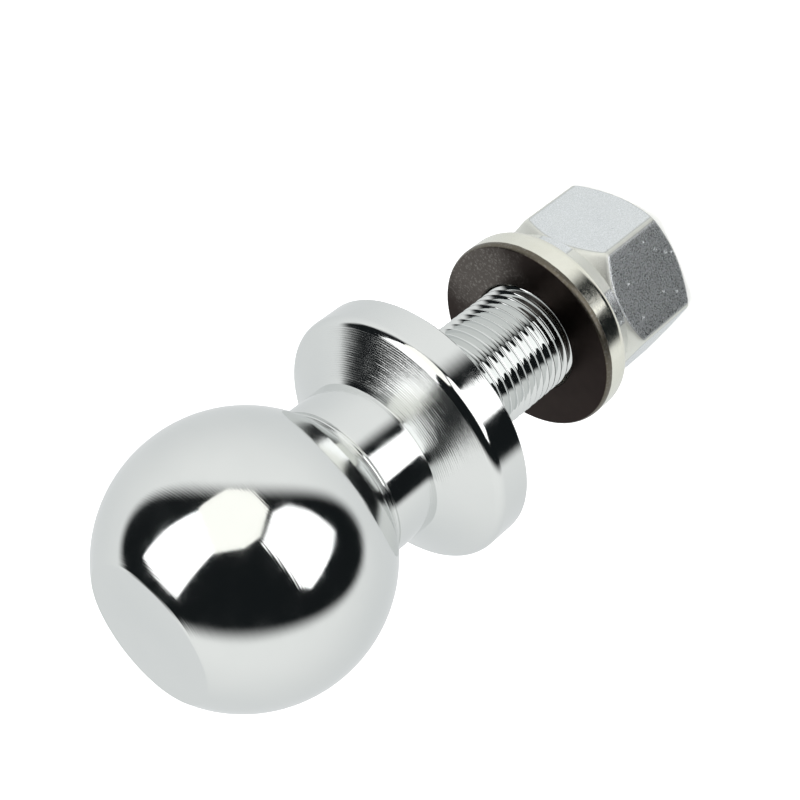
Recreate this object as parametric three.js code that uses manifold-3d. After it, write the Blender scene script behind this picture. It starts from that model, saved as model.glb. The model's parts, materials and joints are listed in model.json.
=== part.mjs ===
// Trailer hitch ball with a threaded shank, its split lock washer and its hexagon nut.
//
// Millimetres, +Z up. The ball's axis is the Z axis, the ball is at the top and the
// nut's lower face stands on Z = 0. The shank has a right-hand thread, so the nut
// climbs by one pitch for each turn by the right-hand rule about +Z.

import * as THREE from "three";
import { mergeVertices } from "three/addons/utils/BufferGeometryUtils.js";
import Module from "manifold-3d";

const INCH = 25.4;

// Driving dimensions: the ball and its top flat
const BALL_DIAMETER = (2 + 5 / 16) * INCH;
const BALL_FLAT_RADIUS = 16.2;
const BALL_FLAT_BEVEL = 0.5;

// Driving dimensions: the neck between the ball and the flange
const NECK_RADIUS = 17.75;
const NECK_TOP_BELOW_BALL = 24.7;
const NECK_STEP_RADIUS = 17.35;

// Driving dimensions: the flange that sits on the drawbar
const FLANGE_RADIUS = 29;
const FLANGE_EDGE_ROUND = 2.5;
const FLANGE_EDGE_CHAMFER = 0.4;
const SKIRT_SLOPE = 30;
const NECK_FOOT_ABOVE_SEAT = 14.7;
const SEAT_BELOW_BALL = 50.1;
const SEAT_FILLET = 1;

// Driving dimensions: the shank and its thread (1 inch, 12 threads to the inch)
const SHANK_RADIUS = INCH / 2;
const PITCH = INCH / 12;
const THREAD_DEPTH = 0.6134 * PITCH;
const CREST_FLAT = PITCH / 8;
const ROOT_FLAT = PITCH / 4;
const SHANK_LENGTH = 68.1;
const THREAD_END_BELOW_SEAT = 6.8;
const RUN_OUT_HEIGHT = 1.4;
const SHANK_CHAMFER = 1.6;

// Driving dimensions: the split lock washer
const WASHER_OUTER_RADIUS = 22.8;
const WASHER_INNER_RADIUS = 13.1;
const WASHER_THICKNESS = 7;
const WASHER_ROUND_RADIAL = 0.7;
const WASHER_ROUND_AXIAL = 1.6;
const WASHER_INNER_BREAK = 0.4;
const WASHER_SPLIT_WIDTH = 2.4;
const WASHER_SPLIT_SLANT = 35;
const WASHER_SPLIT_BEARING = 110;

// Driving dimensions: the hexagon nut with its round collar
const NUT_ACROSS_FLATS = 1.5 * INCH;
const NUT_HEIGHT = 26.9;
const NUT_COLLAR_RADIUS = 19.4;
const NUT_COLLAR_HEIGHT = 4.8;
const NUT_COLLAR_EDGE = 0.6;
const NUT_TOP_CHAMFER_DROP = 2.7;
const NUT_BOTTOM_FACE_RADIUS = 18.7;
const NUT_BOTTOM_CHAMFER_RISE = 2.4;
const NUT_COUNTERSINK = 1.2;
const NUT_BEARING = 0;

// Clearances between pieces
const THREAD_CLEARANCE = 0.35;
const FACE_GAP = 0.3;

// Fineness
const ROUND_SEGMENTS = 40;
const WASHER_SEGMENTS = 40;
const THREAD_SEGMENTS = 20;

// Heights that follow from the driving dimensions
const BALL_RADIUS = BALL_DIAMETER / 2;
const WASHER_BOTTOM = NUT_HEIGHT + FACE_GAP;
const SHANK_END = 1;
const SEAT_Z = SHANK_END + SHANK_LENGTH;
const BALL_Z = SEAT_Z + SEAT_BELOW_BALL;
const THREAD_TOP_Z = SEAT_Z - THREAD_END_BELOW_SEAT;
const THREAD_ROOT_RADIUS = SHANK_RADIUS - THREAD_DEPTH;

const wasm = await Module();
wasm.setup();

/** Points on a circular arc in a profile, angles in degrees from the outward direction. */
function arc(centreR, centreZ, radius, fromDeg, toDeg, steps) {
  const points = [];
  for (let i = 0; i <= steps; i += 1) {
    const angle = THREE.MathUtils.degToRad(fromDeg + ((toDeg - fromDeg) * i) / steps);
    points.push([centreR + radius * Math.cos(angle), centreZ + radius * Math.sin(angle)]);
  }
  return points;
}

/** A quarter of an ellipse from straight out (r + a) round to straight up (z + b). */
function cornerRound(centreR, centreZ, a, b, steps) {
  return arc(0, 0, 1, 0, 90, steps).map(([c, s]) => [centreR + a * c, centreZ + b * s]);
}

/** The closed solid of a geometry, with its shared vertices merged. */
function solidOf(geometry) {
  const bare = geometry.clone();
  bare.deleteAttribute("normal");
  bare.deleteAttribute("uv");
  const merged = mergeVertices(bare, 1e-5);
  const corners = merged.index.array;
  const triangles = [];
  for (let i = 0; i < corners.length; i += 3) {
    const [a, b, c] = [corners[i], corners[i + 1], corners[i + 2]];
    if (a !== b && b !== c && c !== a) triangles.push(a, b, c);
  }
  const vertProperties = new Float32Array(merged.attributes.position.array);
  const triVerts = new Uint32Array(triangles);
  return new wasm.Manifold(new wasm.Mesh({ numProp: 3, vertProperties, triVerts }));
}

/** The solid of revolution about Z of a profile listed from the bottom up, outside only. */
function turned(profile, segments = ROUND_SEGMENTS) {
  const points = profile.map(([r, z]) => new THREE.Vector2(r, z));
  return solidOf(new THREE.LatheGeometry(points, segments).rotateX(Math.PI / 2));
}

/** A named mesh of a solid. */
function meshOf(solid, name, color, roughness) {
  const { vertProperties, triVerts } = solid.getMesh();
  const geometry = new THREE.BufferGeometry();
  geometry.setAttribute("position", new THREE.BufferAttribute(new Float32Array(vertProperties), 3));
  geometry.setIndex(new THREE.BufferAttribute(new Uint32Array(triVerts), 1));
  geometry.computeVertexNormals();
  const material = new THREE.MeshStandardMaterial({ color, roughness, metalness: 1 });
  const mesh = new THREE.Mesh(geometry, material);
  mesh.name = name;
  return mesh;
}

/**
 * A solid rod with a right-hand thread, from about lowZ to past highZ. Every rod has the
 * same phase about Z = 0, so a rod grown by a clearance is in mesh with one that isn't.
 */
function threadedRod(lowZ, highZ, grow) {
  const crest = SHANK_RADIUS + grow;
  const root = THREAD_ROOT_RADIUS + grow;
  const flank = (PITCH - CREST_FLAT - ROOT_FLAT) / 2;
  const outline = [
    [crest, 0],
    [crest, CREST_FLAT],
    [root, CREST_FLAT + flank],
    [root, CREST_FLAT + flank + ROOT_FLAT],
  ];
  const firstTurn = Math.floor(lowZ / PITCH) - 1;
  const turns = Math.ceil(highZ / PITCH) + 1 - firstTurn;
  const rows = turns * outline.length + 1;
  const positions = [];
  for (let column = 0; column < THREAD_SEGMENTS; column += 1) {
    const share = column / THREAD_SEGMENTS;
    const angle = share * 2 * Math.PI;
    for (let row = 0; row < rows; row += 1) {
      const [radius, rise] = outline[row % outline.length];
      const turn = firstTurn + Math.floor(row / outline.length) + share;
      positions.push(radius * Math.cos(angle), radius * Math.sin(angle), turn * PITCH + rise);
    }
  }
  const bottom = positions.length / 3;
  positions.push(0, 0, (firstTurn + 0.5) * PITCH);
  const top = bottom + 1;
  positions.push(0, 0, (firstTurn + turns + 0.5) * PITCH);

  // One turn on, a column meets the first one again a whole pitch higher up.
  const vertex = (column, row) =>
    column < THREAD_SEGMENTS ? column * rows + row : row + outline.length;
  const index = [];
  for (let column = 0; column < THREAD_SEGMENTS; column += 1) {
    const last = column === THREAD_SEGMENTS - 1;
    const rowsHere = last ? rows - outline.length : rows;
    for (let row = 0; row + 1 < rowsHere; row += 1) {
      const a = vertex(column, row);
      const b = vertex(column + 1, row);
      const c = vertex(column + 1, row + 1);
      const d = vertex(column, row + 1);
      index.push(a, b, c, a, c, d);
    }
    index.push(bottom, vertex(column + 1, 0), vertex(column, 0));
    index.push(top, vertex(column, rowsHere - 1), vertex(column + 1, rowsHere - 1));
  }
  for (let row = 0; row < outline.length; row += 1) {
    index.push(bottom, vertex(0, row), vertex(0, row + 1));
    const lastColumn = THREAD_SEGMENTS - 1;
    const upper = rows - outline.length + row;
    index.push(top, vertex(lastColumn, upper), vertex(lastColumn, upper - 1));
  }
  const geometry = new THREE.BufferGeometry();
  geometry.setAttribute("position", new THREE.Float32BufferAttribute(positions, 3));
  geometry.setIndex(index);
  return solidOf(geometry);
}

/** Ball, neck, flange and threaded shank: one forged and turned piece. */
function hitchBall() {
  const slope = THREE.MathUtils.degToRad(SKIRT_SLOPE);
  const neckFoot = SEAT_Z + NECK_FOOT_ABOVE_SEAT;
  const roundR = FLANGE_RADIUS - FLANGE_EDGE_ROUND;
  const skirtFootR = roundR + FLANGE_EDGE_ROUND * Math.sin(slope);
  const skirtFootZ = neckFoot - (skirtFootR - NECK_RADIUS) * Math.tan(slope);
  const roundZ = skirtFootZ - FLANGE_EDGE_ROUND * Math.cos(slope);
  const neckTop = BALL_Z - NECK_TOP_BELOW_BALL;
  const ballFootDeg = -THREE.MathUtils.radToDeg(Math.acos(NECK_STEP_RADIUS / BALL_RADIUS));
  const flatDeg = THREE.MathUtils.radToDeg(Math.acos(BALL_FLAT_RADIUS / BALL_RADIUS));
  const flatZ = BALL_Z + Math.sqrt(BALL_RADIUS ** 2 - BALL_FLAT_RADIUS ** 2);
  const seatInner = SHANK_RADIUS + SEAT_FILLET;
  const upper = turned([
    [0, THREAD_TOP_Z - RUN_OUT_HEIGHT],
    [THREAD_ROOT_RADIUS - 0.1, THREAD_TOP_Z - RUN_OUT_HEIGHT],
    [SHANK_RADIUS, THREAD_TOP_Z],
    ...arc(seatInner, SEAT_Z - SEAT_FILLET, SEAT_FILLET, 180, 90, 3),
    [FLANGE_RADIUS - FLANGE_EDGE_CHAMFER, SEAT_Z],
    [FLANGE_RADIUS, SEAT_Z + FLANGE_EDGE_CHAMFER],
    ...arc(roundR, roundZ, FLANGE_EDGE_ROUND, 0, 90 - SKIRT_SLOPE, 5),
    [NECK_RADIUS, neckFoot],
    [NECK_RADIUS, neckTop],
    [NECK_STEP_RADIUS, neckTop + (NECK_RADIUS - NECK_STEP_RADIUS)],
    ...arc(0, BALL_Z, BALL_RADIUS, ballFootDeg, flatDeg, 26),
    [BALL_FLAT_RADIUS - BALL_FLAT_BEVEL, flatZ + BALL_FLAT_BEVEL / 2],
    [0, flatZ + BALL_FLAT_BEVEL / 2],
  ]);
  const envelope = turned([
    [0, SHANK_END],
    [SHANK_RADIUS - SHANK_CHAMFER, SHANK_END],
    [SHANK_RADIUS + 1, SHANK_END + SHANK_CHAMFER + 1],
    [SHANK_RADIUS + 1, THREAD_TOP_Z - RUN_OUT_HEIGHT / 2],
    [0, THREAD_TOP_Z - RUN_OUT_HEIGHT / 2],
  ]);
  const thread = threadedRod(SHANK_END, THREAD_TOP_Z, 0).intersect(envelope);
  return meshOf(thread.add(upper), "hitch_ball", 0xd2d5d7, 0.12);
}

/** Lock washer: a ring of spring steel with rounded outer edges, cut by a slanted split. */
function lockWasher() {
  const low = WASHER_BOTTOM;
  const high = WASHER_BOTTOM + WASHER_THICKNESS;
  const rounds = cornerRound(0, 0, WASHER_ROUND_RADIAL, WASHER_ROUND_AXIAL, 3);
  const outerR = WASHER_OUTER_RADIUS - WASHER_ROUND_RADIAL;
  const lowerEdge = rounds.map(([r, z]) => [outerR + r, low + WASHER_ROUND_AXIAL - z]).reverse();
  const upperEdge = rounds.map(([r, z]) => [outerR + r, high - WASHER_ROUND_AXIAL + z]);
  const ring = turned(
    [
      [WASHER_INNER_RADIUS, high - WASHER_INNER_BREAK],
      [WASHER_INNER_RADIUS, low + WASHER_INNER_BREAK],
      [WASHER_INNER_RADIUS + WASHER_INNER_BREAK, low],
      ...lowerEdge,
      ...upperEdge,
      [WASHER_INNER_RADIUS + WASHER_INNER_BREAK, high],
      [WASHER_INNER_RADIUS, high - WASHER_INNER_BREAK],
    ],
    WASHER_SEGMENTS,
  );
  const reach = WASHER_OUTER_RADIUS + 2;
  const cutter = new THREE.BoxGeometry(reach, WASHER_SPLIT_WIDTH, 3 * WASHER_THICKNESS)
    .translate(reach / 2, 0, 0)
    .rotateX(THREE.MathUtils.degToRad(WASHER_SPLIT_SLANT))
    .rotateZ(THREE.MathUtils.degToRad(WASHER_SPLIT_BEARING))
    .translate(0, 0, (low + high) / 2);
  return meshOf(ring.subtract(solidOf(cutter)), "lock_washer", 0xb9b39a, 0.3);
}

/** Hexagon nut with a round collar on its upper side and a right-hand thread. */
function hexNut() {
  const flatRadius = NUT_ACROSS_FLATS / 2;
  const cornerRadius = flatRadius / Math.cos(Math.PI / 6);
  const collarBottom = NUT_HEIGHT - NUT_COLLAR_HEIGHT;
  const hexagon = new THREE.CylinderGeometry(cornerRadius, cornerRadius, collarBottom, 6)
    .rotateX(Math.PI / 2)
    .rotateZ(THREE.MathUtils.degToRad(NUT_BEARING))
    .translate(0, 0, collarBottom / 2);
  const hexagonBody = turned([
    [0, 0],
    [NUT_BOTTOM_FACE_RADIUS, 0],
    [cornerRadius + 0.1, NUT_BOTTOM_CHAMFER_RISE],
    [cornerRadius + 0.1, collarBottom - NUT_TOP_CHAMFER_DROP],
    [NUT_COLLAR_RADIUS, collarBottom],
    [0, collarBottom],
  ]).intersect(solidOf(hexagon));
  const collar = turned([
    [0, collarBottom - NUT_COLLAR_EDGE],
    [NUT_COLLAR_RADIUS - NUT_COLLAR_EDGE, collarBottom - NUT_COLLAR_EDGE],
    [NUT_COLLAR_RADIUS, collarBottom],
    [NUT_COLLAR_RADIUS, NUT_HEIGHT - NUT_COLLAR_EDGE],
    [NUT_COLLAR_RADIUS - NUT_COLLAR_EDGE, NUT_HEIGHT],
    [0, NUT_HEIGHT],
  ]);
  const mouth = SHANK_RADIUS + THREAD_CLEARANCE + 0.2;
  const countersink = turned([
    [0, -1],
    [mouth + 1, -1],
    [mouth - NUT_COUNTERSINK, NUT_COUNTERSINK],
    [0, NUT_COUNTERSINK],
  ]);
  const upperCountersink = turned([
    [0, NUT_HEIGHT - NUT_COUNTERSINK],
    [mouth - NUT_COUNTERSINK, NUT_HEIGHT - NUT_COUNTERSINK],
    [mouth + 1, NUT_HEIGHT + 1],
    [0, NUT_HEIGHT + 1],
  ]);
  const nut = hexagonBody
    .add(collar)
    .subtract(threadedRod(-PITCH, NUT_HEIGHT + PITCH, THREAD_CLEARANCE))
    .subtract(countersink)
    .subtract(upperCountersink);
  return meshOf(nut, "hex_nut", 0xc9cccb, 0.4);
}

const hitch = new THREE.Group();
hitch.add(hitchBall());
hitch.add(lockWasher());
hitch.add(hexNut());

export default hitch;
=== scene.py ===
"""A chromed trailer hitch ball with its split lock washer and hexagon nut.

Metres, +Z up, the ball's axis on Z. Every piece is turned, swept or cut here as a fine
mesh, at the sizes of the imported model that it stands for.
"""

import json
import math

import bmesh
import bpy
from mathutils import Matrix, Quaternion, Vector


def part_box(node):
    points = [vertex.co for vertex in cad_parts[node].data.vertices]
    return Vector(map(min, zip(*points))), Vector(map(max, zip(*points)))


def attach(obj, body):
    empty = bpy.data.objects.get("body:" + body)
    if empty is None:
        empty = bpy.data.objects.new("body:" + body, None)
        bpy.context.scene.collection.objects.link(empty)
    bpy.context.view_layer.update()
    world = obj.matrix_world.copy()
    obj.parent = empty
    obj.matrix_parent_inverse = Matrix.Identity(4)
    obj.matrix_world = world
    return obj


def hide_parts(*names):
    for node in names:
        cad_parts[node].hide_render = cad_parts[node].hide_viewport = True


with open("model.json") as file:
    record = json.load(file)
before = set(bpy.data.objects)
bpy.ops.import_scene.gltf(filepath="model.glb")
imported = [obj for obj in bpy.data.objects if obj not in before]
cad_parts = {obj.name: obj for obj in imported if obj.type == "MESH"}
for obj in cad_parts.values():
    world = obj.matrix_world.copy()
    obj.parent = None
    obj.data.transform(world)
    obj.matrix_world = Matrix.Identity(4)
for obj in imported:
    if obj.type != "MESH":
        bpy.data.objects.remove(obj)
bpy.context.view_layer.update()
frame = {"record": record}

MM = 0.001

# Heights and sizes that the frame gives
BALL_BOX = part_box("hitch_ball")
WASHER_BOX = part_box("lock_washer")
NUT_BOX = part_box("hex_nut")
MOUNTS = {mount["name"]: Vector(mount["pos_m"]) for mount in frame["record"]["mounts"]}
SEAT_Z = MOUNTS["drawbar_seat"].z
SHANK_END_Z = BALL_BOX[0].z
FLAT_Z = BALL_BOX[1].z

# Ball and neck
BALL_RADIUS = 29.369 * MM
BALL_Z = SEAT_Z + 50.1 * MM
FLAT_RADIUS = 16.2 * MM
NECK_RADIUS = 17.75 * MM
NECK_TOP_Z = BALL_Z - 24.7 * MM
STEP_RADIUS = 17.35 * MM
STEP_START = 0.15 * MM
STEP_HEIGHT = 0.4 * MM
STEP_RETURN = 0.1 * MM
FLAT_BEVEL = 0.45 * MM
FINE_ROUND = 0.1 * MM

# Flange
FLANGE_RADIUS = 29 * MM
EDGE_ROUND = 2.5 * MM
SEAT_CHAMFER = 0.4 * MM
SEAT_FILLET = 1 * MM
SKIRT_SLOPE = math.radians(30)
NECK_FOOT_Z = SEAT_Z + 14.7 * MM

# Shank and thread
SHANK_RADIUS = 12.7 * MM
PITCH = 25.4 / 12 * MM
THREAD_DEPTH = 0.6134 * PITCH
THREAD_TOP_Z = SEAT_Z - 6.8 * MM
RUN_OUT_HEIGHT = 1.4 * MM
SHANK_CHAMFER = 1.6 * MM
THREAD_CLEARANCE = 0.35 * MM

# Lock washer
WASHER_LOW = WASHER_BOX[0].z
WASHER_HIGH = WASHER_BOX[1].z
WASHER_OUTER = 22.8 * MM
WASHER_INNER = 13.1 * MM
WASHER_ROUND = (0.7 * MM, 1.6 * MM)
WASHER_INNER_ROUND = 0.4 * MM
SPLIT_WIDTH = 2.4 * MM
SPLIT_SLANT = math.radians(35)
SPLIT_BEARING = math.radians(110)

# Nut
NUT_HEIGHT = NUT_BOX[1].z
NUT_FLAT = 19.05 * MM
NUT_CORNER = NUT_FLAT / math.cos(math.radians(30))
COLLAR_RADIUS = 19.4 * MM
COLLAR_Z = NUT_HEIGHT - 4.8 * MM
CORNER_ROUND = 2.1 * MM
BOTTOM_FACE_RADIUS = 18.7 * MM
BOTTOM_CHAMFER = 2.4 * MM
SHOULDER_DROP = 2.7 * MM
FLAT_TO_CONE_BLEND = 0.8 * MM
COLLAR_EDGE = 0.5 * MM
COLLAR_START = 0.15 * MM
MOUTH_BREAK = 0.2 * MM

# Fineness
MERGE_DISTANCE = 2e-7
ROUND_STEPS = 192
BALL_STEPS = 130
EDGE_STEPS = 16
WASHER_STEPS = 200
THREAD_ROWS = 18
FLAT_STEPS = 26
CORNER_STEPS = 10
NUT_ROWS = 150

# The camera, fitted to the object's outline
LENS_MM = 69.75
AIM = Vector((5.77, -0.91, 69.74)) * MM
CAMERA_DISTANCE = 323.1 * MM
CAMERA_AZIMUTH = math.radians(-9.0)
CAMERA_ELEVATION = math.radians(32.2)
CAMERA_ROLL = math.radians(-127.8)

# Marks in the metals, and the washer's painted shade
LATHE_PITCH = 0.45 * MM
CHATTER_PITCH = 1.37 * MM
SCRATCH_WIDTH = 0.33 * MM
CHROME_RELIEF = 0.004 * MM
# The depth of the washer's painted shade on its upper face, and the centre of a lighter patch of painted
# light on that shade
PAINTED_SHADE_DEPTH = 1.55 * MM
LIT_PATCH_CENTRE = (19 * MM, -4 * MM, WASHER_HIGH)
WASHER_RELIEF = 0.004 * MM
NUT_RELIEF = 0.033 * MM

# The studio as the ball mirrors it: directions in degrees to the right and up, seen from
# the object towards the camera, with the camera's own roll
DARK_TURN = 2.5
DARK_HALF_WIDTH = 101
DARK_HALF_HEIGHT = 54
DARK_CENTRE = 1.8
DARK_END_LIFT = 9
LEFT_SOFTBOX = [(-73, 2), (-58, 20), (-35, 37), (-17, 9), (-47, -22)]
RIGHT_SOFTBOX = [(28, 37), (43, 41), (62, 33), (77, 17), (71, 6), (54, -17), (45, -16), (17, 15)]
TOP_SOFTBOX = [(-37, 38), (-16, 55), (12, 54), (25, 40), (16, 20), (4, 12), (-18, 8)]
WHITE_GLOW = (1.7, 1.7, 1.7)
CREAM_GLOW = (1.34, 1.33, 1.26)
SOFTBOX_DISTANCE = 3
FLOOR_HALF_WIDTH = 6
FLOOR_GAP = 0.02 * MM

# ---------------------------------------------------------------- profiles

def arc(centre, radius, start, end, steps):
    """Points of an arc in a profile, angles in degrees from the outward direction."""
    points = []
    for i in range(steps + 1):
        angle = math.radians(start + (end - start) * i / steps)
        points.append((centre[0] + radius * math.cos(angle), centre[1] + radius * math.sin(angle)))
    return points


def with_fillets(corners):
    """A profile's points, each corner (r, z, fillet) rounded by an arc of that radius."""
    points = []
    for i, (r, z, fillet) in enumerate(corners):
        here = Vector((r, z))
        if not fillet or i in (0, len(corners) - 1):
            points.append((r, z))
            continue
        before = Vector(corners[i - 1][:2]) - here
        after = Vector(corners[i + 1][:2]) - here
        opening = before.angle(after)
        reach = min(fillet / math.tan(opening / 2), 0.48 * before.length, 0.48 * after.length)
        radius = reach * math.tan(opening / 2)
        start = here + before.normalized() * reach
        end = here + after.normalized() * reach
        centre = here + (before.normalized() + after.normalized()).normalized() * math.hypot(reach, radius)
        steps = max(2, round(math.degrees(math.pi - opening) / 9))
        for k in range(steps + 1):
            chord = (start - centre).lerp(end - centre, k / steps)
            swing = chord.normalized() * radius
            points.append((centre.x + swing.x, centre.y + swing.y))
    return points


def with_supports(points, support=0.08 * MM, longest=1.5 * MM):
    """The profile with extra points near both ends of its long stretches."""
    filled = [points[0]]
    for start, end in zip(points, points[1:]):
        a, b = Vector(start), Vector(end)
        length = (b - a).length
        if length > 6 * support:
            inner = [support]
            pieces = max(1, math.ceil((length - 2 * support) / longest))
            inner += [support + (length - 2 * support) * k / pieces for k in range(1, pieces + 1)]
            filled += [tuple(a.lerp(b, distance / length)) for distance in inner]
        filled.append(end)
    return filled


# ---------------------------------------------------------------- meshes

def even_angles(steps):
    """Angles at even steps round a full turn."""
    return [2 * math.pi * i / steps for i in range(steps)]


def ring_of(bm, radius, z, angles):
    """A ring of vertices about Z, or one vertex where the radius is nil."""
    if radius < 1e-7:
        return [bm.verts.new((0, 0, z))]
    return [bm.verts.new((radius * math.cos(angle), radius * math.sin(angle), z)) for angle in angles]


def bridge(bm, lower, upper):
    """Faces between two rings that are listed the same way round."""
    steps = max(len(lower), len(upper))
    for i in range(steps):
        j = (i + 1) % steps
        if len(lower) == 1:
            bm.faces.new((lower[0], upper[j], upper[i]))
        elif len(upper) == 1:
            bm.faces.new((lower[i], lower[j], upper[0]))
        else:
            bm.faces.new((lower[i], lower[j], upper[j], upper[i]))


def turn_profile(bm, profile, marks, values):
    """Turns a profile about Z; every vertex gets its way along the profile and its tool marks."""
    along_layer, marks_layer = marks
    previous = None
    along = 0
    for i, (radius, z) in enumerate(profile):
        if i:
            along += math.hypot(radius - profile[i - 1][0], z - profile[i - 1][1])
        ring = ring_of(bm, radius, z, even_angles(ROUND_STEPS))
        for vertex in ring:
            vertex[along_layer] = along
            vertex[marks_layer] = values(radius, z)
        if previous:
            bridge(bm, previous, ring)
        previous = ring


def sharpen(bm, limit_deg):
    """Marks the edges that bend more than a limit as sharp, and shades the rest smooth."""
    for face in bm.faces:
        face.smooth = True
    for edge in bm.edges:
        if len(edge.link_faces) == 2:
            edge.smooth = edge.calc_face_angle(0) < math.radians(limit_deg)


def object_of(bm, name, sharp_deg=40):
    """A new object of a bmesh, with outward faces and its sharp edges marked."""
    bmesh.ops.remove_doubles(bm, verts=bm.verts, dist=MERGE_DISTANCE)
    bmesh.ops.dissolve_degenerate(bm, edges=bm.edges, dist=MERGE_DISTANCE)
    bmesh.ops.recalc_face_normals(bm, faces=bm.faces)
    sharpen(bm, sharp_deg)
    mesh = bpy.data.meshes.new(name)
    bm.to_mesh(mesh)
    bm.free()
    piece = bpy.data.objects.new(name, mesh)
    bpy.context.scene.collection.objects.link(piece)
    return piece


def mark_layers(bm):
    """The vertex layers that hold the way along a turned profile and the depth of its marks."""
    return bm.verts.layers.float.new("along"), bm.verts.layers.float.new("marks")


def smooth_min(a, b, blend):
    """The smaller of two lengths, rounded over where they are about the same."""
    share = max(blend - abs(a - b), 0) / blend
    return min(a, b) - share * share * blend / 4


def thread_radius(share, crest):
    """The radius of the thread at a share of its pitch, with rounded crest and root."""
    from_crest = abs(share - math.floor(share + 0.5))
    ramp = (from_crest - 1 / 16) / (3 / 8 - 1 / 16)
    eased = smooth_min(ramp, 1, 0.12)
    eased = -smooth_min(-eased, 0, 0.12)
    return crest - THREAD_DEPTH * eased


def thread_rows(bm, low_z, high_z, radius_at, angles):
    """
    A helical sheet between two heights: columns of vertices, each column a little higher
    than the last, so that the rows follow the thread.
    """
    first = math.floor(low_z / PITCH) - 1
    turns = math.ceil(high_z / PITCH) + 1 - first
    rows = turns * THREAD_ROWS + 1
    sheet = []
    for angle in angles:
        strip = []
        for row in range(rows):
            share = row / THREAD_ROWS
            free_z = PITCH * (first + share + angle / (2 * math.pi))
            z = min(max(free_z, low_z), high_z)
            radius = radius_at(z, share)
            strip.append(bm.verts.new((radius * math.cos(angle), radius * math.sin(angle), z)))
        sheet.append(strip)
    for left, following in zip(sheet, sheet[1:] + sheet[:1]):
        right = sheet[0][THREAD_ROWS:] if following is sheet[0] else following
        for row in range(min(len(left), len(right)) - 1):
            bm.faces.new((left[row], right[row], right[row + 1], left[row + 1]))
    return sheet


# ---------------------------------------------------------------- the three pieces

def hitch_ball():
    """Ball, neck, flange and threaded shank as one turned piece."""
    bm = bmesh.new()
    layers = mark_layers(bm)
    low_chamfer = SHANK_RADIUS - SHANK_CHAMFER

    def shank_radius(z, share):
        run_out = SHANK_RADIUS - THREAD_DEPTH * (THREAD_TOP_Z - z) / RUN_OUT_HEIGHT
        thread_run_out_and_lit_patch = max(thread_radius(share, SHANK_RADIUS), min(run_out, SHANK_RADIUS))
        return min(thread_run_out_and_lit_patch, low_chamfer + (z - SHANK_END_Z))

    sheet = thread_rows(bm, SHANK_END_Z, THREAD_TOP_Z, shank_radius, even_angles(ROUND_STEPS))
    for strip in sheet:
        for vertex in strip:
            vertex[layers[0]] = vertex.co.z
    end_face = with_supports([(0, SHANK_END_Z), (low_chamfer, SHANK_END_Z)])
    turn_profile(bm, end_face, layers, lambda radius, z: 0.4)

    foot = -math.degrees(math.acos(STEP_RADIUS / BALL_RADIUS))
    brow = math.degrees(math.acos(FLAT_RADIUS / BALL_RADIUS))
    ball = arc((0, BALL_Z), BALL_RADIUS, foot, brow, BALL_STEPS)
    round_radius = FLANGE_RADIUS - EDGE_ROUND
    skirt_foot = round_radius + EDGE_ROUND * math.sin(SKIRT_SLOPE)
    skirt_foot_z = NECK_FOOT_Z - (skirt_foot - NECK_RADIUS) * math.tan(SKIRT_SLOPE)
    round_z = skirt_foot_z - EDGE_ROUND * math.cos(SKIRT_SLOPE)
    edge = arc((round_radius, round_z), EDGE_ROUND, 0, 90 - math.degrees(SKIRT_SLOPE), EDGE_STEPS)
    step_z = NECK_TOP_Z + STEP_START
    corners = [
        (SHANK_RADIUS, THREAD_TOP_Z, 0),
        (SHANK_RADIUS, SEAT_Z, SEAT_FILLET),
        (FLANGE_RADIUS - SEAT_CHAMFER, SEAT_Z, FINE_ROUND),
        (FLANGE_RADIUS, SEAT_Z + SEAT_CHAMFER, FINE_ROUND),
        *[(r, z, 0) for r, z in edge],
        (NECK_RADIUS, NECK_FOOT_Z, 0.12 * MM),
        (NECK_RADIUS, NECK_TOP_Z, FINE_ROUND),
        (STEP_RADIUS, step_z, FINE_ROUND),
        (STEP_RADIUS, step_z + STEP_HEIGHT, FINE_ROUND / 2),
        (STEP_RADIUS - 2 * STEP_RETURN, step_z + STEP_HEIGHT + STEP_RETURN, FINE_ROUND),
        (ball[0][0], ball[0][1], 0.2 * MM),
        *[(r, z, 0) for r, z in ball[2:-2]],
        (*ball[-1], 0.25 * MM),
        (FLAT_RADIUS - FLAT_BEVEL, FLAT_Z, 0.12 * MM),
        (0, FLAT_Z, 0),
    ]

    def marks(radius, z):
        if skirt_foot_z < z < NECK_FOOT_Z and radius > NECK_RADIUS + 0.2 * MM:
            return 1
        return 0.25

    turn_profile(bm, with_supports(with_fillets(corners)), layers, marks)
    return object_of(bm, "hitch_ball_fine")


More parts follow.
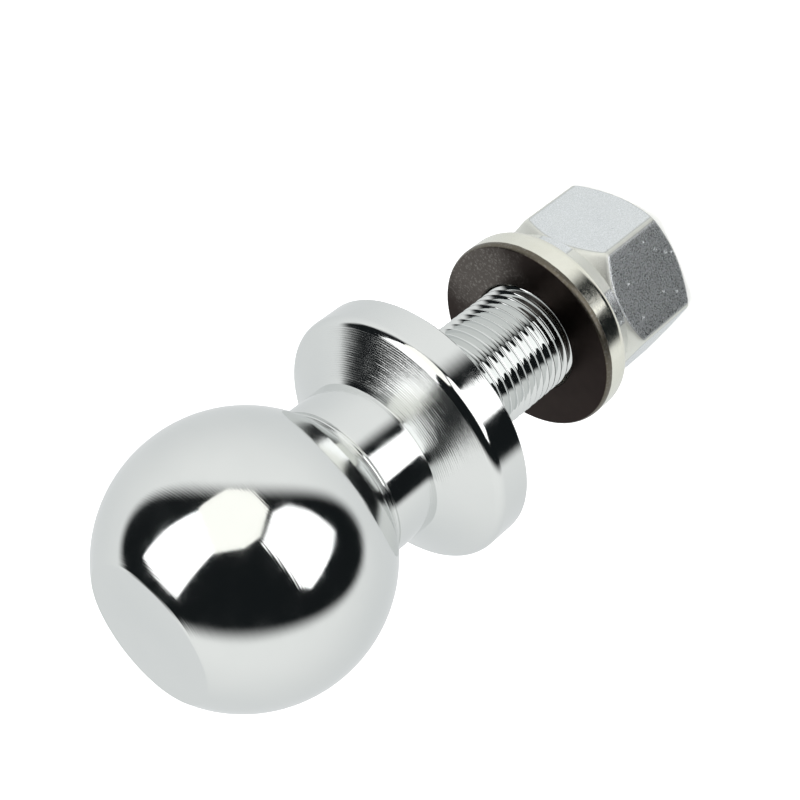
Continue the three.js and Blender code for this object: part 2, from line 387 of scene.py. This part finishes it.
def lock_washer():
    """A ring with rounded edges, cut through by a slanted split."""
    bm = bmesh.new()
    round_r, round_z = WASHER_ROUND
    outer = WASHER_OUTER - round_r
    quarter = [(math.cos(a), math.sin(a)) for a in (math.pi / 2 * k / 10 for k in range(11))]
    upper = [(outer + round_r * c, WASHER_HIGH - round_z * (1 - s)) for c, s in quarter]
    lower = [(r, WASHER_LOW + WASHER_HIGH - z) for r, z in reversed(upper)]
    inner = [
        (outer, WASHER_HIGH, 0),
        (WASHER_INNER, WASHER_HIGH, WASHER_INNER_ROUND),
        (WASHER_INNER, WASHER_LOW, WASHER_INNER_ROUND),
        (outer, WASHER_LOW, 0),
    ]
    section = with_supports(with_fillets(inner))[:-1] + with_supports(lower + upper)[:-1]
    middle = (WASHER_LOW + WASHER_HIGH) / 2

    def bearing(radius, z, side):
        across = (side * SPLIT_WIDTH / 2 - (z - middle) * math.sin(SPLIT_SLANT)) / math.cos(SPLIT_SLANT)
        return math.asin(across / radius)

    rings = []
    for station in range(WASHER_STEPS + 1):
        share = station / WASHER_STEPS
        ring = []
        for radius, z in section:
            start = bearing(radius, z, 1)
            end = bearing(radius, z, -1) + 2 * math.pi
            angle = SPLIT_BEARING + start + (end - start) * share
            ring.append(bm.verts.new((radius * math.cos(angle), radius * math.sin(angle), z)))
        if rings:
            bridge(bm, rings[-1], ring)
        rings.append(ring)
    bm.faces.new(rings[0])
    bm.faces.new(rings[-1])
    return object_of(bm, "lock_washer_fine")


def hex_nut():
    """A hexagon nut with rounded corners, a round collar and a threaded bore."""
    bm = bmesh.new()
    crest = SHANK_RADIUS + THREAD_CLEARANCE
    mouth = crest + MOUTH_BREAK
    sector = math.pi / 3
    round_centre = (NUT_FLAT - CORNER_ROUND) / math.cos(sector / 2)
    flat_end = math.atan((NUT_FLAT - CORNER_ROUND) * math.tan(sector / 2) / NUT_FLAT)

    def hexagon(angle):
        within = abs((angle + sector / 2) % sector - sector / 2)
        if within <= flat_end:
            return NUT_FLAT / math.cos(within)
        off = sector / 2 - within
        aside = round_centre * math.sin(off)
        return round_centre * math.cos(off) + math.sqrt(CORNER_ROUND**2 - aside**2)

    def envelope(z):
        bottom = BOTTOM_FACE_RADIUS + z * (NUT_CORNER - BOTTOM_FACE_RADIUS) / BOTTOM_CHAMFER
        shoulder = COLLAR_RADIUS + (COLLAR_Z - z) * (NUT_CORNER - COLLAR_RADIUS) / SHOULDER_DROP
        return min(bottom, shoulder)

    def outer_radius(angle, z):
        if z > COLLAR_Z + COLLAR_START:
            return smooth_min(COLLAR_RADIUS, COLLAR_RADIUS + NUT_HEIGHT - COLLAR_EDGE - z, COLLAR_EDGE)
        return smooth_min(hexagon(angle), envelope(z), FLAT_TO_CONE_BLEND)

    angles = []
    for side in range(6):
        start = side * sector - flat_end
        angles += [start + 2 * flat_end * k / FLAT_STEPS for k in range(FLAT_STEPS)]
        corner = sector - 2 * flat_end
        angles += [start + 2 * flat_end + corner * k / CORNER_STEPS for k in range(CORNER_STEPS)]
    rings = []
    for row in range(NUT_ROWS + 1):
        z = NUT_HEIGHT * row / NUT_ROWS
        ring = []
        for angle in angles:
            radius = outer_radius(angle, z)
            ring.append(bm.verts.new((radius * math.cos(angle), radius * math.sin(angle), z)))
        if rings:
            bridge(bm, rings[-1], ring)
        rings.append(ring)

    def bore_radius(z, share):
        opening = max(mouth - z, mouth - (NUT_HEIGHT - z))
        return max(thread_radius(share, crest), opening)

    thread_rows(bm, 0, NUT_HEIGHT, bore_radius, angles)
    for z, outline in ((0, rings[0]), (NUT_HEIGHT, rings[-1])):
        bridge(bm, ring_of(bm, mouth, z, angles), outline)
    return object_of(bm, "hex_nut_fine", sharp_deg=35)


# ---------------------------------------------------------------- materials

class Graph:
    """A node tree with short ways to add nodes and sums."""

    def __init__(self, tree):
        self.tree = tree

    def add(self, kind, inputs=None, **settings):
        node = self.tree.nodes.new(kind)
        for key, value in settings.items():
            setattr(node, key, value)
        for key, value in (inputs or {}).items():
            self.put(node.inputs[key], value)
        return node

    def put(self, socket, value):
        if isinstance(value, bpy.types.NodeSocket):
            self.tree.links.new(value, socket)
        else:
            socket.default_value = value

    def math(self, operation, *values):
        return self.add("ShaderNodeMath", dict(enumerate(values)), operation=operation).outputs[0]

    def ramp(self, value, low, high, to_low=0, to_high=1):
        inputs = {"Value": value, "From Min": low, "From Max": high, "To Min": to_low, "To Max": to_high}
        node = self.add("ShaderNodeMapRange", inputs, interpolation_type="SMOOTHSTEP")
        return node.outputs["Result"]

    def noise(self, vector, scale, detail=3, roughness=0.5):
        inputs = {"Vector": vector, "Scale": scale, "Detail": detail, "Roughness": roughness}
        return self.add("ShaderNodeTexNoise", inputs).outputs["Fac"]

    def mix(self, share, first, second):
        node = self.add("ShaderNodeMix", data_type="RGBA")
        self.put(node.inputs["Factor"], share)
        self.put(node.inputs["A"], first)
        self.put(node.inputs["B"], second)
        return node.outputs["Result"]

    def bump(self, height, distance, strength=1.0):
        inputs = {"Height": height, "Strength": strength, "Distance": distance}
        return self.add("ShaderNodeBump", inputs).outputs["Normal"]


def metal(name):
    """A new material with its graph, its shader and its object coordinates."""
    material = bpy.data.materials.new(name)
    material.use_nodes = True
    graph = Graph(material.node_tree)
    shader = material.node_tree.nodes["Principled BSDF"]
    shader.inputs["Metallic"].default_value = 1
    place = graph.add("ShaderNodeTexCoord").outputs["Object"]
    return material, graph, shader, place


def chrome():
    """Bright chrome over the fine rings that the lathe left, which are deepest on the skirt."""
    material, graph, shader, place = metal("bright_chrome")
    along = graph.add("ShaderNodeAttribute", attribute_name="along").outputs["Fac"]
    marks = graph.add("ShaderNodeAttribute", attribute_name="marks").outputs["Fac"]
    haze = graph.noise(place, 260, 4)
    cloud = graph.noise(place, 45, 3)
    wander = graph.math("MULTIPLY", graph.noise(place, 120, 2), 0.25 * MM)
    fine_phase = graph.math("MULTIPLY", graph.math("ADD", along, wander), 2 * math.pi / LATHE_PITCH)
    fine = graph.math("SINE", fine_phase)
    coarse = graph.math("SINE", graph.math("MULTIPLY", along, 2 * math.pi / CHATTER_PITCH))
    split = graph.add("ShaderNodeSeparateXYZ", {"Vector": place}).outputs
    bearing = graph.math("ARCTAN2", split["Y"], split["X"])
    around = {
        "X": graph.math("DIVIDE", along, SCRATCH_WIDTH),
        "Y": graph.math("MULTIPLY", graph.math("COSINE", bearing), 6),
        "Z": graph.math("MULTIPLY", graph.math("SINE", bearing), 6),
    }
    scratches = graph.noise(graph.add("ShaderNodeCombineXYZ", around).outputs[0], 1, 3, 0.6)
    rings = graph.math("MULTIPLY_ADD", coarse, 0.4, graph.math("MULTIPLY", fine, 0.7))
    rings = graph.math("MULTIPLY_ADD", scratches, 4, rings)
    height = graph.math("MULTIPLY", rings, marks)
    graph.put(shader.inputs["Normal"], graph.bump(height, CHROME_RELIEF))
    colour = graph.mix(cloud, (0.7, 0.72, 0.715, 1), (0.785, 0.795, 0.785, 1))
    graph.put(shader.inputs["Base Color"], colour)
    ringed_haze = graph.math("ADD", haze, graph.math("MULTIPLY", fine, 0.12))
    streaks = graph.ramp(ringed_haze, 0.3, 0.8, 0.03, 0.1)
    graph.put(shader.inputs["Roughness"], graph.math("MULTIPLY_ADD", marks, 0.1, streaks))
    return material


def washer_zinc():
    """Yellowish zinc on the rim, and painted shade on the upper face: mottled dark brown, lighter on one
    side as painted light, with painted glints and an olive-brown painted reflection on the upper rounding.
    """
    material, graph, shader, place = metal("washer_zinc")
    height = graph.add("ShaderNodeSeparateXYZ", {"Vector": place}).outputs["Z"]
    wobble = graph.math("MULTIPLY", graph.noise(place, 500, 3), 0.3 * MM)
    # The upper face and the top of its rounding, down to a set depth, carry painted shade instead of the
    # zinc colour, and are a little rougher
    painted_shade_low = WASHER_HIGH - PAINTED_SHADE_DEPTH
    painted_shade_face = graph.ramp(graph.math("ADD", height, wobble), painted_shade_low, painted_shade_low + 0.25 * MM)
    grain = graph.noise(place, 1500, 5, 0.7)
    blotch = graph.noise(place, 160, 4, 0.6)
    zinc = graph.mix(blotch, (0.76, 0.75, 0.65, 1), (0.9, 0.9, 0.82, 1))
    # A lighter patch of painted light on one side of the painted shade, round a set spot, with a ragged
    # edge
    ends = {0: place, 1: LIT_PATCH_CENTRE}
    reach = graph.add("ShaderNodeVectorMath", ends, operation="DISTANCE").outputs["Value"]
    ragged = graph.math("MULTIPLY", graph.math("SUBTRACT", blotch, 0.5), 14 * MM)
    reach = graph.math("ADD", reach, ragged)
    thread_run_out_and_lit_patch = graph.ramp(reach, 5 * MM, 17 * MM, 1, 0)
    # The painted shade: near-black mottled brown
    dark = graph.mix(blotch, (0.014, 0.009, 0.008, 1), (0.03, 0.021, 0.018, 1))
    dark = graph.mix(thread_run_out_and_lit_patch, dark, (0.1, 0.088, 0.08, 1))
    # The upper rounding gets an olive-brown painted reflection
    rounding = graph.ramp(height, WASHER_HIGH - 0.25 * MM, WASHER_HIGH - 0.02 * MM, 1, 0)
    dark = graph.mix(rounding, dark, (0.15, 0.135, 0.105, 1))
    # Pale painted glints from the grain, on the lit patch and the rounding
    painted_glints = graph.math("MULTIPLY", graph.ramp(grain, 0.5, 0.66), graph.math("MAXIMUM", thread_run_out_and_lit_patch, rounding))
    dark = graph.mix(painted_glints, dark, (0.22, 0.205, 0.19, 1))
    graph.put(shader.inputs["Base Color"], graph.mix(painted_shade_face, zinc, dark))
    rough = graph.math("ADD", graph.math("MULTIPLY", painted_shade_face, 0.2), graph.ramp(grain, 0.3, 0.7, 0.12, 0.2))
    graph.put(shader.inputs["Roughness"], rough)
    graph.put(shader.inputs["Normal"], graph.bump(grain, WASHER_RELIEF, 0.5))
    return material


def nut_zinc():
    """Grained zinc with a few dents on the nut's flats, brighter and rougher off the flats."""
    material, graph, shader, place = metal("nut_zinc")
    split = graph.add("ShaderNodeSeparateXYZ", {"Vector": place}).outputs
    reach = None
    for turn in (0, math.pi / 3, 2 * math.pi / 3):
        across = graph.math("MULTIPLY", split["X"], math.cos(turn))
        across = graph.math("ABSOLUTE", graph.math("MULTIPLY_ADD", split["Y"], math.sin(turn), across))
        reach = graph.math("MAXIMUM", reach, across) if reach else across
    flat = graph.ramp(reach, NUT_FLAT - 0.16 * MM, NUT_FLAT - 0.01 * MM)
    flat_border = graph.math("MULTIPLY", graph.math("MULTIPLY", flat, graph.math("SUBTRACT", 1, flat)), 4)
    grain = graph.noise(place, 3000, 3, 0.65)
    blotch = graph.noise(place, 130, 4, 0.6)
    face = graph.mix(blotch, (0.69, 0.72, 0.735, 1), (0.79, 0.815, 0.815, 1))
    # The grain is real, but its pale bluish specks are painted sparkle, a painted glint
    face = graph.mix(graph.ramp(grain, 0.45, 0.7), face, (0.9, 0.92, 0.95, 1))
    colour = graph.mix(flat, (0.86, 0.87, 0.82, 1), face)
    # A thin darker line along the border of each flat is painted shade at the edge
    colour = graph.mix(graph.math("MULTIPLY", flat_border, 0.5), colour, (0.36, 0.37, 0.36, 1))
    graph.put(shader.inputs["Base Color"], colour)
    face_rough = graph.ramp(grain, 0.3, 0.7, 0.24, 0.36)
    rough = graph.math("MULTIPLY_ADD", graph.math("SUBTRACT", 1, flat), 0.2, face_rough)
    graph.put(shader.inputs["Roughness"], rough)
    dents = graph.add("ShaderNodeTexVoronoi", {"Vector": place, "Scale": 420}).outputs["Distance"]
    picked = graph.ramp(graph.noise(place, 330, 1), 0.52, 0.57)
    dent = graph.math("MULTIPLY", graph.ramp(dents, 0.08, 0.2, -1, 0), picked)
    cells = graph.add("ShaderNodeTexVoronoi", {"Vector": place, "Scale": 2600}).outputs["Distance"]
    relief = graph.math("MULTIPLY_ADD", cells, 0.8, grain)
    relief = graph.math("MULTIPLY_ADD", dent, 2, relief)
    graph.put(shader.inputs["Normal"], graph.bump(relief, NUT_RELIEF))
    return material


# ---------------------------------------------------------------- camera, studio and floor

def place_camera():
    """The camera, rolled so that the ball's axis lies across the picture."""
    camera = bpy.data.objects.new("camera", bpy.data.cameras.new("camera"))
    bpy.context.scene.collection.objects.link(camera)
    back = Vector((
        math.sin(CAMERA_AZIMUTH) * math.cos(CAMERA_ELEVATION),
        -math.cos(CAMERA_AZIMUTH) * math.cos(CAMERA_ELEVATION),
        math.sin(CAMERA_ELEVATION),
    ))
    camera.location = AIM + back * CAMERA_DISTANCE
    camera.rotation_mode = "QUATERNION"
    level = (-back).to_track_quat("-Z", "Y")
    camera.rotation_quaternion = level @ Quaternion((0, 0, 1), CAMERA_ROLL)
    camera.data.lens = LENS_MM
    camera.data.clip_start = 0.01
    camera.data.clip_end = 50
    bpy.context.scene.camera = camera
    return camera.rotation_quaternion.copy()


def studio(turned_by):
    """A pale surround for reflections, with a dark room behind the camera, and a white backdrop."""
    world = bpy.data.worlds.new("studio")
    bpy.context.scene.world = world
    world.use_nodes = True
    graph = Graph(world.node_tree)
    graph.tree.nodes.clear()
    direction = graph.add("ShaderNodeTexCoord").outputs["Generated"]

    def share_along(axis):
        inputs = {0: direction, 1: turned_by @ Vector(axis)}
        return graph.add("ShaderNodeVectorMath", inputs, operation="DOT_PRODUCT").outputs["Value"]

    right, up, back = share_along((1, 0, 0)), share_along((0, 1, 0)), share_along((0, 0, 1))
    azimuth = graph.math("DEGREES", graph.math("ARCTAN2", right, back))
    elevation = graph.math("DEGREES", graph.math("ARCSINE", up))
    aside = graph.math("DIVIDE", graph.math("SUBTRACT", azimuth, DARK_TURN), DARK_HALF_WIDTH)
    wide = graph.math("POWER", aside, 2)
    centre = graph.math("MULTIPLY_ADD", wide, DARK_END_LIFT, DARK_CENTRE)
    rise = graph.math("DIVIDE", graph.math("SUBTRACT", elevation, centre), DARK_HALF_HEIGHT)
    tall = graph.math("POWER", rise, 2)
    reach = graph.math("SQRT", graph.math("ADD", wide, tall))
    steepness = graph.math("DIVIDE", tall, graph.math("ADD", wide, tall))
    softness = graph.math("MULTIPLY_ADD", steepness, 0.11, 0.05)
    dark = graph.ramp(graph.math("DIVIDE", graph.math("SUBTRACT", reach, 1), softness), -1, 1, 1, 0)
    surround = graph.mix(graph.ramp(back, -1, 0.5), (0.77, 0.79, 0.795, 1), (0.99, 1.0, 0.99, 1))
    colour = graph.mix(dark, surround, (0.009, 0.011, 0.012, 1))
    seen = graph.add("ShaderNodeLightPath").outputs["Is Camera Ray"]
    colour = graph.mix(seen, colour, (1, 1, 1, 1))
    background = graph.add("ShaderNodeBackground", {"Color": colour, "Strength": 1.0})
    output = graph.add("ShaderNodeOutputWorld")
    graph.put(output.inputs["Surface"], background.outputs["Background"])


def softbox(name, turned_by, outline, colour):
    """A flat glowing card whose corners lie in the given directions from the object."""
    directions = []
    for azimuth_deg, elevation_deg in outline:
        azimuth, elevation = math.radians(azimuth_deg), math.radians(elevation_deg)
        level = math.cos(elevation)
        right, back = math.sin(azimuth) * level, math.cos(azimuth) * level
        directions.append(Vector((right, math.sin(elevation), back)))
    middle = sum(directions, Vector()).normalized()
    bm = bmesh.new()
    corners = [turned_by @ (way * SOFTBOX_DISTANCE / way.dot(middle)) + AIM for way in directions]
    bm.faces.new([bm.verts.new(corner) for corner in corners])
    mesh = bpy.data.meshes.new(name)
    bm.to_mesh(mesh)
    bm.free()
    card = bpy.data.objects.new(name, mesh)
    bpy.context.scene.collection.objects.link(card)
    card.visible_camera = False
    card.visible_shadow = False
    material = bpy.data.materials.new(name)
    material.use_nodes = True
    graph = Graph(material.node_tree)
    graph.tree.nodes.clear()
    glow = graph.add("ShaderNodeEmission", {"Color": (*colour, 1), "Strength": 1.0})
    output = graph.add("ShaderNodeOutputMaterial")
    graph.put(output.inputs["Surface"], glow.outputs["Emission"])
    mesh.materials.append(material)


def lay_floor():
    """A pale floor just under the nut's lower face at rest. It stays there at every pose."""
    bm = bmesh.new()
    bmesh.ops.create_grid(bm, x_segments=8, y_segments=8, size=FLOOR_HALF_WIDTH)
    mesh = bpy.data.meshes.new("floor")
    bm.to_mesh(mesh)
    bm.free()
    floor = bpy.data.objects.new("floor", mesh)
    bpy.context.scene.collection.objects.link(floor)
    floor.location.z = -FLOOR_GAP
    floor.visible_glossy = False
    material = bpy.data.materials.new("floor_paint")
    material.use_nodes = True
    graph = Graph(material.node_tree)
    shader = material.node_tree.nodes["Principled BSDF"]
    place = graph.add("ShaderNodeTexCoord").outputs["Object"]
    tone = graph.noise(place, 3, 2)
    graph.put(shader.inputs["Base Color"], graph.mix(tone, (0.93, 0.93, 0.93, 1), (0.95, 0.95, 0.95, 1)))
    shader.inputs["Roughness"].default_value = 0.9
    shader.inputs["Emission Color"].default_value = (1, 1, 1, 1)
    shader.inputs["Emission Strength"].default_value = 0.45
    mesh.materials.append(material)


def overhead_light():
    """A broad soft lamp that lights the floor without showing in the chrome."""
    lamp = bpy.data.lights.new("overhead", "AREA")
    lamp.shape = "DISK"
    lamp.size = 1.6
    lamp.energy = 14
    holder = bpy.data.objects.new("overhead", lamp)
    bpy.context.scene.collection.objects.link(holder)
    holder.location = (0.1, -0.2, 1.5)
    holder.visible_glossy = False


def finish_piece(piece, node, body, material):
    """Gives a fine piece its material, and puts it in its node's place on a body."""
    piece.data.materials.append(material)
    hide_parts(node)
    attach(piece, body)


bpy.context.scene.view_settings.view_transform = "Standard"
seen_from = place_camera()
studio(seen_from)
softbox("left_softbox", seen_from, LEFT_SOFTBOX, WHITE_GLOW)
softbox("right_softbox", seen_from, RIGHT_SOFTBOX, WHITE_GLOW)
softbox("top_softbox", seen_from, TOP_SOFTBOX, CREAM_GLOW)
lay_floor()
overhead_light()
finish_piece(hitch_ball(), "hitch_ball", "stud", chrome())
finish_piece(lock_washer(), "lock_washer", "washer", washer_zinc())
finish_piece(hex_nut(), "hex_nut", "nut", nut_zinc())
